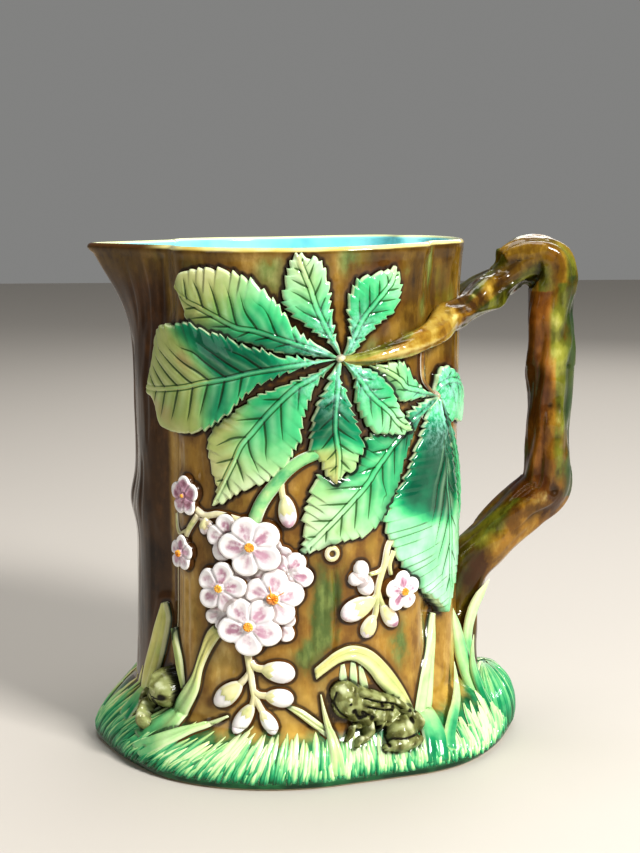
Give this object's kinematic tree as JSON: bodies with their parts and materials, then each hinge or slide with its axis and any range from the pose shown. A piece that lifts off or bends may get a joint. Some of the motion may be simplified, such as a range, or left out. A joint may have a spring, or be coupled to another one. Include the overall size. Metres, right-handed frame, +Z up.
{
  "type": "majolica pitcher",
  "caption": "Glazed earthenware pitcher with a trunk-like body, pinched spout, flared grassy foot, forked branch handle and relief of leaves, blossom and frogs.",
  "frame": {"origin": "centre of the box's underside, on the surface the pitcher stands on", "axes": "+Z up; the spout points to -X and the handle to +X; -Y is the side in the picture"},
  "size_m": [0.1976, 0.1458, 0.2027],
  "materials": {
    "glaze": "high-gloss translucent coloured glazes: amber-brown ground, green and cream relief, turquoise inside"
  },
  "bodies": {
    "root": {"pitcher": "glaze"}
  },
  "joints": []
}
